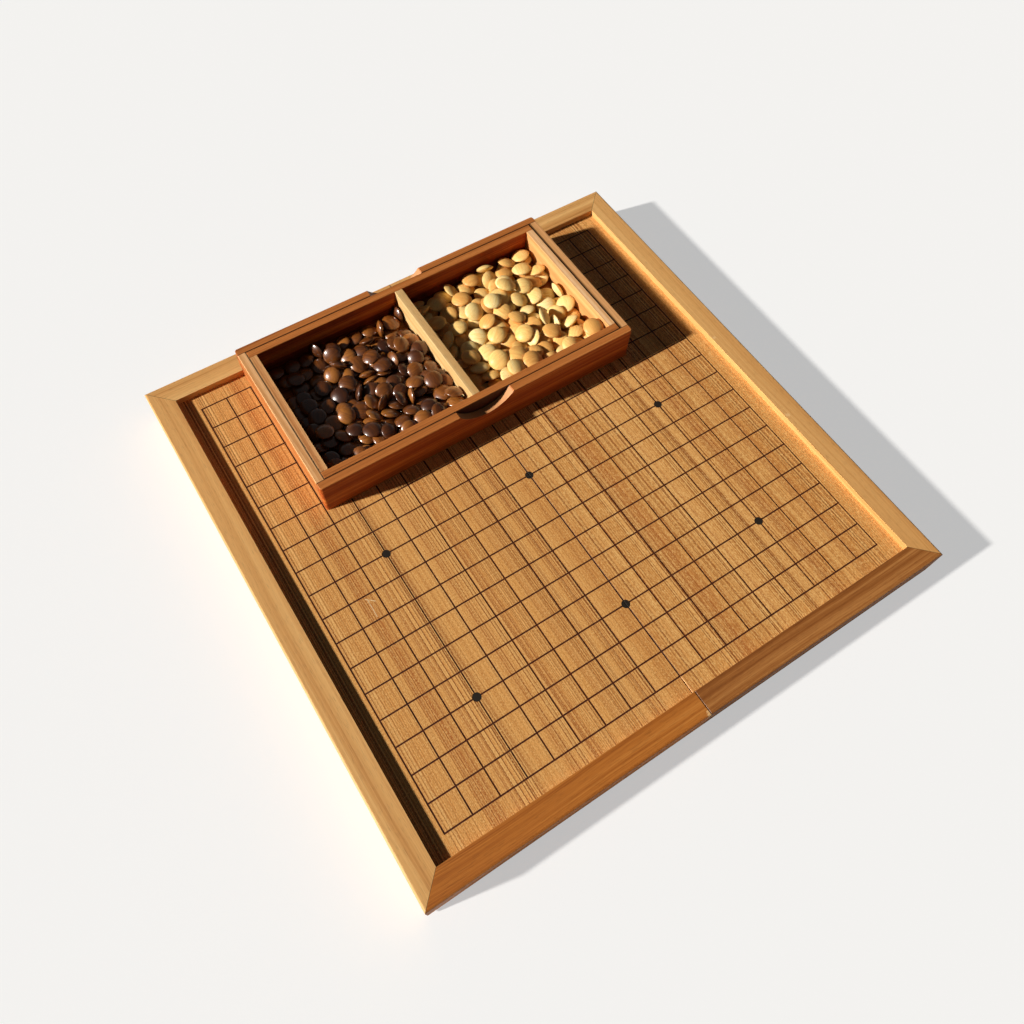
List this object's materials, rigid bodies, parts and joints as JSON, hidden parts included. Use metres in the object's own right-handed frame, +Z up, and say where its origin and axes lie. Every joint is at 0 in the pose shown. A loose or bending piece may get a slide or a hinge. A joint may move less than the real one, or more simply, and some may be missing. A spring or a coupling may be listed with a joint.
{
  "type": "folding go board with stone box",
  "caption": "Folding board with a raised rim and a ruled grid; a low box on it has a lift-out tray of dark and light lens-shaped stones.",
  "frame": {"origin": "on the surface it stands on, under the middle of the open board", "axes": "+X to the board's right half, +Y to the rail that the stone box stands against, +Z up"},
  "size_m": [0.402, 0.402, 0.054],
  "materials": {
    "panel_wood": "satin lacquer over straight-grained golden wood, dark engraved lines",
    "rail_wood": "satin lacquer",
    "rail_wood_light": "satin lacquer",
    "rail_wood_dark": "satin lacquer",
    "seam_rail_wood": "plain planed wood",
    "box_wood": "satin lacquer, reddish brown",
    "box_floor_wood": "plain thin board",
    "tray_wood": "satin lacquer, reddish brown",
    "tray_floor_wood": "plain thin board",
    "divider_wood": "pale planed wood",
    "dark_stone_wood": "gloss lacquer over dark brown wood",
    "light_stone_wood": "smooth pale wood, nearly matt",
    "hinge_brass": "rolled brass",
    "pin_brass": "drawn brass",
    "screw_brass": "turned brass",
    "foot_felt": "pressed felt"
  },
  "bodies": {
    "left_half": {"left_panel": "panel_wood", "left_side_rail": "rail_wood", "left_front_rail": "rail_wood_light", "left_back_rail": "rail_wood", "left_seam_rail": "seam_rail_wood", "left_hinge_leaves": "hinge_brass", "left_hinge_screws": "screw_brass", "hinge_pins": "pin_brass", "left_feet": "foot_felt"},
    "right_half": {"right_panel": "panel_wood", "right_side_rail": "rail_wood", "right_front_rail": "rail_wood_dark", "right_back_rail": "rail_wood", "right_seam_rail": "seam_rail_wood", "right_hinge_leaves": "hinge_brass", "right_hinge_screws": "screw_brass", "right_feet": "foot_felt"},
    "stone_box": {"box_front_wall": "box_wood", "box_back_wall": "box_wood", "box_left_wall": "box_wood", "box_right_wall": "box_wood", "box_floor": "box_floor_wood"},
    "stone_tray": {"tray_front_wall": "tray_wood", "tray_back_wall": "tray_wood", "tray_left_wall": "tray_wood", "tray_right_wall": "tray_wood", "tray_floor": "tray_floor_wood", "tray_divider": "divider_wood"},
    "dark_stone_heap": {"dark_stones": "dark_stone_wood"},
    "light_stone_heap": {"light_stones": "light_stone_wood"}
  },
  "joints": [
    {"name": "fold", "type": "hinge", "parent": "left_half", "child": "right_half", "pos_m": [0, 0, 0.002], "axis": [0, 1, 0], "range_deg": [0, 178.5]},
    {"name": "box_lift", "type": "slide", "parent": "left_half", "child": "stone_box", "axis": [0, 0, 1], "range_m": [0, 0.12]},
    {"name": "tray_lift", "type": "slide", "parent": "stone_box", "child": "stone_tray", "axis": [0, 0, 1], "range_m": [0, 0.09]},
    {"name": "dark_stones_lift", "type": "slide", "parent": "stone_tray", "child": "dark_stone_heap", "axis": [0, 0, 1], "range_m": [0, 0.05]},
    {"name": "light_stones_lift", "type": "slide", "parent": "stone_tray", "child": "light_stone_heap", "axis": [0, 0, 1], "range_m": [0, 0.05]}
  ]
}
